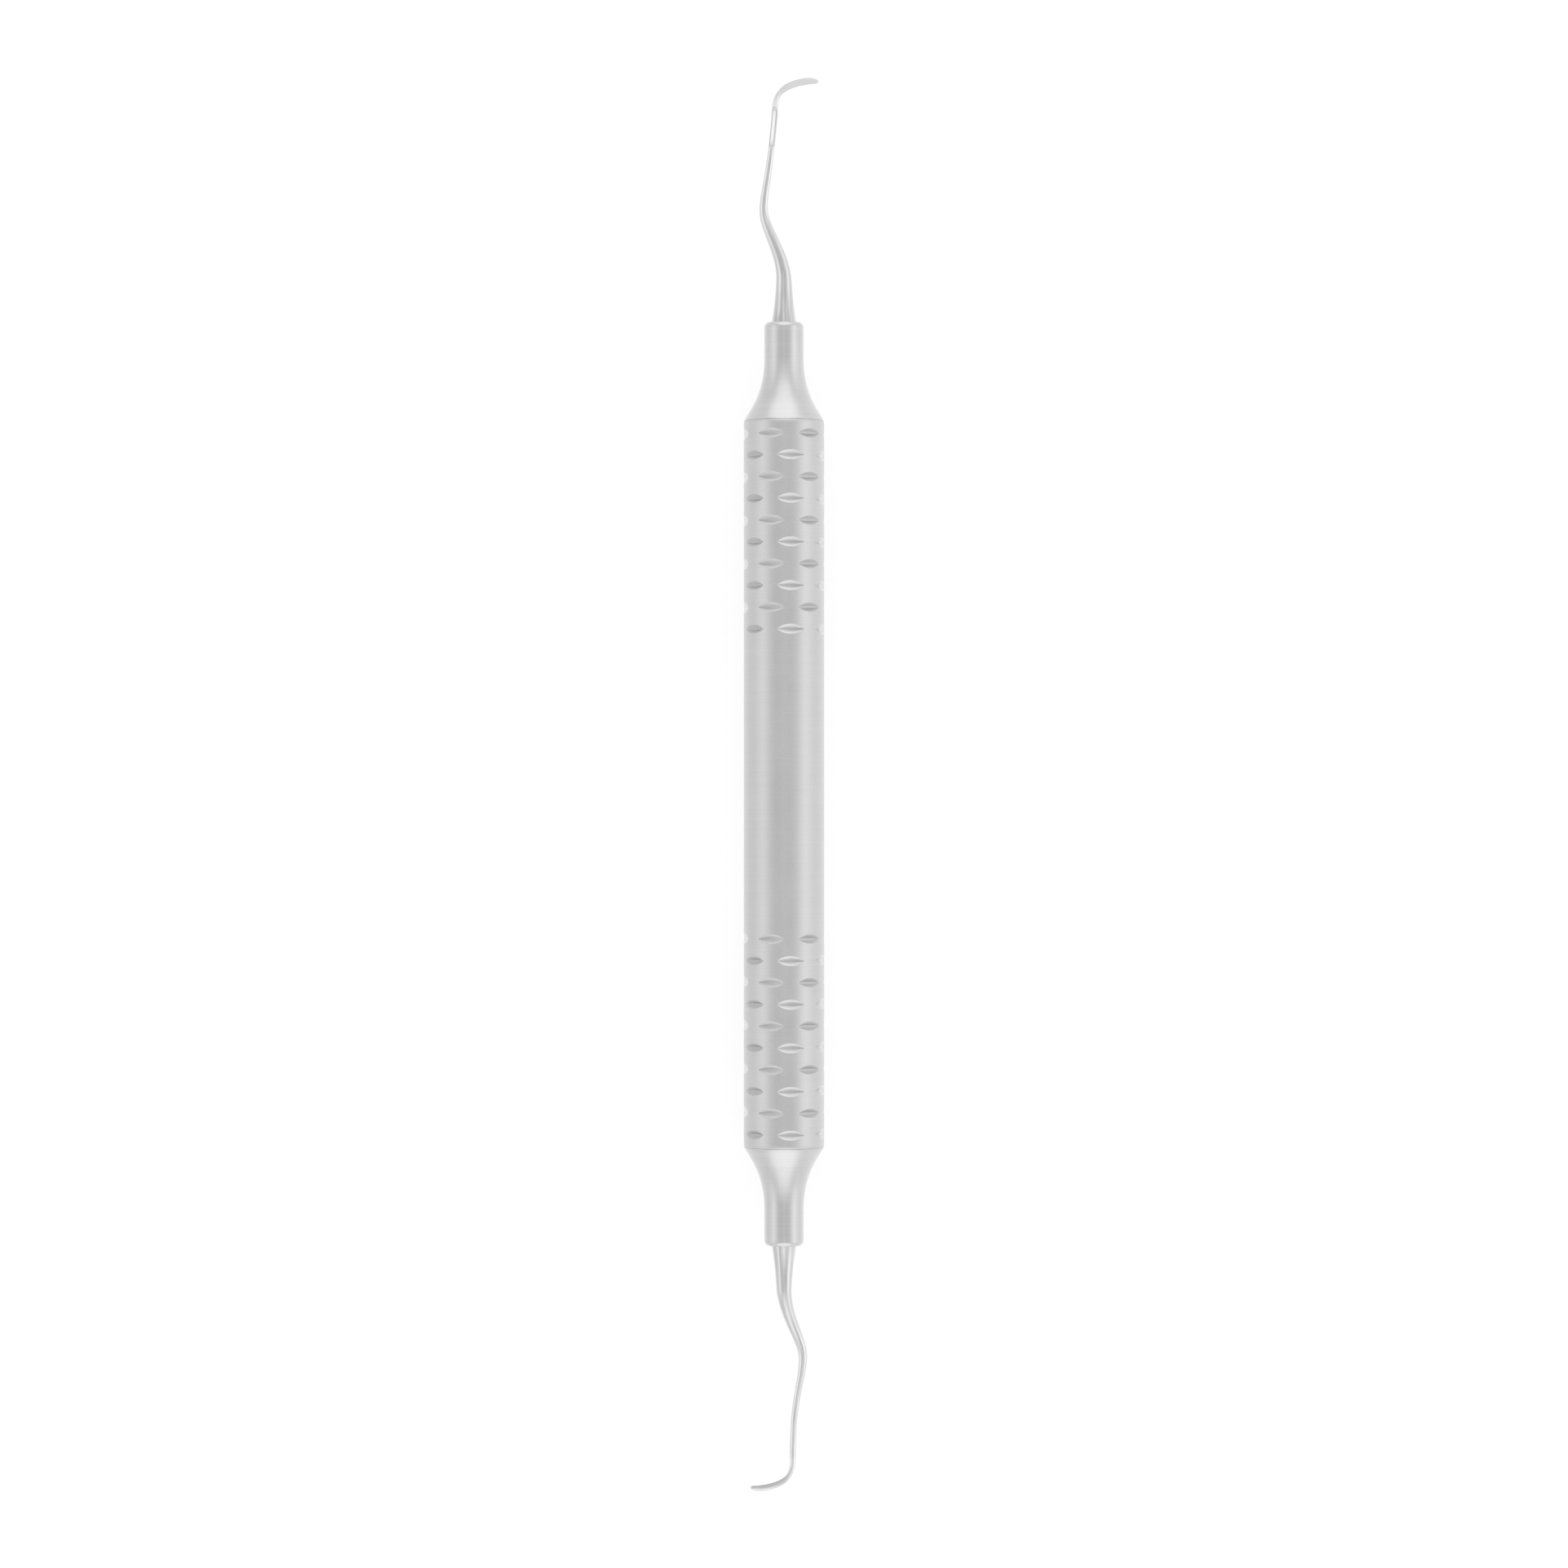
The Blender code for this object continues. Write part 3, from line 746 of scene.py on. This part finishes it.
class WorldNodes(Nodes):
    """The world's node tree, with two more kinds of curve."""

    def __init__(self, name):
        world = bpy.data.worlds.new(name)
        bpy.context.scene.world = world
        world.use_nodes = True
        self.tree = world.node_tree

    def curve(self, value, stops):
        """The value read through a curve of (where, level), both from 0 to 1."""
        node = self.add("ValToRGB")
        ramp = node.color_ramp
        ramp.interpolation = "EASE"
        ramp.elements.remove(ramp.elements[-1])
        ramp.elements[0].position = stops[0][0]
        ramp.elements[0].color = (stops[0][1],) * 3 + (1,)
        for at, level in stops[1:]:
            ramp.elements.new(at).color = (level,) * 3 + (1,)
        self.set(node.inputs["Fac"], value)
        return node.outputs["Color"]

    def step(self, value, start, end):
        """A smooth rise from 0 at start to 1 at end."""
        node = self.add("MapRange", {"interpolation_type": "SMOOTHSTEP"})
        self.set(node.inputs["Value"], value)
        self.set(node.inputs["From Min"], start)
        self.set(node.inputs["From Max"], end)
        return node.outputs["Result"]


# Brightness all round the object, read by the angle from straight up towards either side, in degrees:
# square across the handle, and on the slant towards its ends. END_PANEL is added towards the ends of
# the handle, by the angle from its middle plane.
ACROSS = (
    (0, 0.50), (4, 0.46), (9, 0.38), (20, 0.385), (32, 0.46), (44, 0.61), (56, 0.81), (64, 0.85),
    (76, 0.73), (90, 0.63), (104, 0.63), (120, 0.67), (140, 0.76), (160, 0.84), (180, 0.88),
)
SLANTED = (
    (0, 0.45), (32, 0.44), (58, 0.56), (70, 0.60), (90, 0.59), (104, 0.62), (118, 0.66), (135, 0.70),
    (156, 0.68), (180, 0.70),
)
END_PANEL = (
    (0, 0.0), (6, 0.06), (14, 0.08), (22, 0.20), (30, 0.32), (42, 0.41), (62, 0.42), (80, 0.58),
    (90, 0.58),
)
TO_THE_RIGHT = 0.05  # how much brighter the right side is, and how much dimmer the left
# Where one part of the tent fades into the next, as lengths along a unit direction.
SLANT_FROM, SLANT_TO = 0.2, 0.62  # along the handle: from the square curve to the slanted one
PANEL_LOW, PANEL_HIGH = -0.12, 0.18  # up: the panel's lower edge
PANEL_SIDE, PANEL_INNER = 0.66, 0.30  # across the handle: the panel's side edges


def add_light():
    """A light tent: dim straight above, brighter round that, dim again at the horizon."""
    nodes = WorldNodes("light_tent")
    split = nodes.add("SeparateXYZ")
    nodes.set(split.inputs[0], nodes.add("TexCoord").outputs["Generated"])
    x, y, z = split.outputs
    sideways = nodes.math("ABSOLUTE", y)
    endways = nodes.math("ABSOLUTE", x)
    tilt = nodes.math("DIVIDE", nodes.math("ARCTAN2", sideways, z), math.pi)
    lean = nodes.math("DIVIDE", nodes.math("ARCSINE", endways), math.pi / 2)
    across = nodes.curve(tilt, [(angle / 180, level) for angle, level in ACROSS])
    slanted = nodes.curve(tilt, [(angle / 180, level) for angle, level in SLANTED])
    panel = nodes.curve(lean, [(angle / 90, level) for angle, level in END_PANEL])
    slant = nodes.step(endways, SLANT_FROM, SLANT_TO)
    above = nodes.step(z, PANEL_LOW, PANEL_HIGH)
    near_middle = nodes.step(sideways, PANEL_SIDE, PANEL_INNER)
    straight = nodes.math("MULTIPLY", across, nodes.math("SUBTRACT", 1.0, slant))
    level = nodes.math("ADD", straight, nodes.math("MULTIPLY", slanted, slant))
    panel = nodes.math("MULTIPLY", panel, nodes.math("MULTIPLY", above, near_middle))
    level = nodes.math("ADD", level, panel)
    uneven = nodes.math("MULTIPLY_ADD", y, -TO_THE_RIGHT)
    uneven.node.inputs[2].default_value = 1.0
    level = nodes.math("MULTIPLY", nodes.math("MULTIPLY", level, uneven), LIGHT_LEVEL)
    seen = nodes.add("LightPath").outputs["Is Camera Ray"]
    strength = nodes.math("MAXIMUM", level, nodes.math("MULTIPLY", seen, BACKDROP_LEVEL))
    background = nodes.tree.nodes["Background"]
    background.inputs["Color"].default_value = (1, 1, 1, 1)
    nodes.set(background.inputs["Strength"], strength)


# ---- The object ----
satin = satin_steel()
turned = turned_steel()
polished = polished_steel()
add_piece("handle", handle_mesh(), satin, "handle_tube")
add_piece("cone_a", cone_mesh("cone_a", 1), turned, "end_cone_a")
add_piece("cone_b", cone_mesh("cone_b", -1), turned, "end_cone_b")
add_piece("scaler_a", working_end_mesh("scaler_a", False), polished, "working_end_a")
add_piece("scaler_b", working_end_mesh("scaler_b", True), polished, "working_end_b")

add_floor()
add_light()
add_camera()
bpy.context.scene.view_settings.view_transform = "Standard"
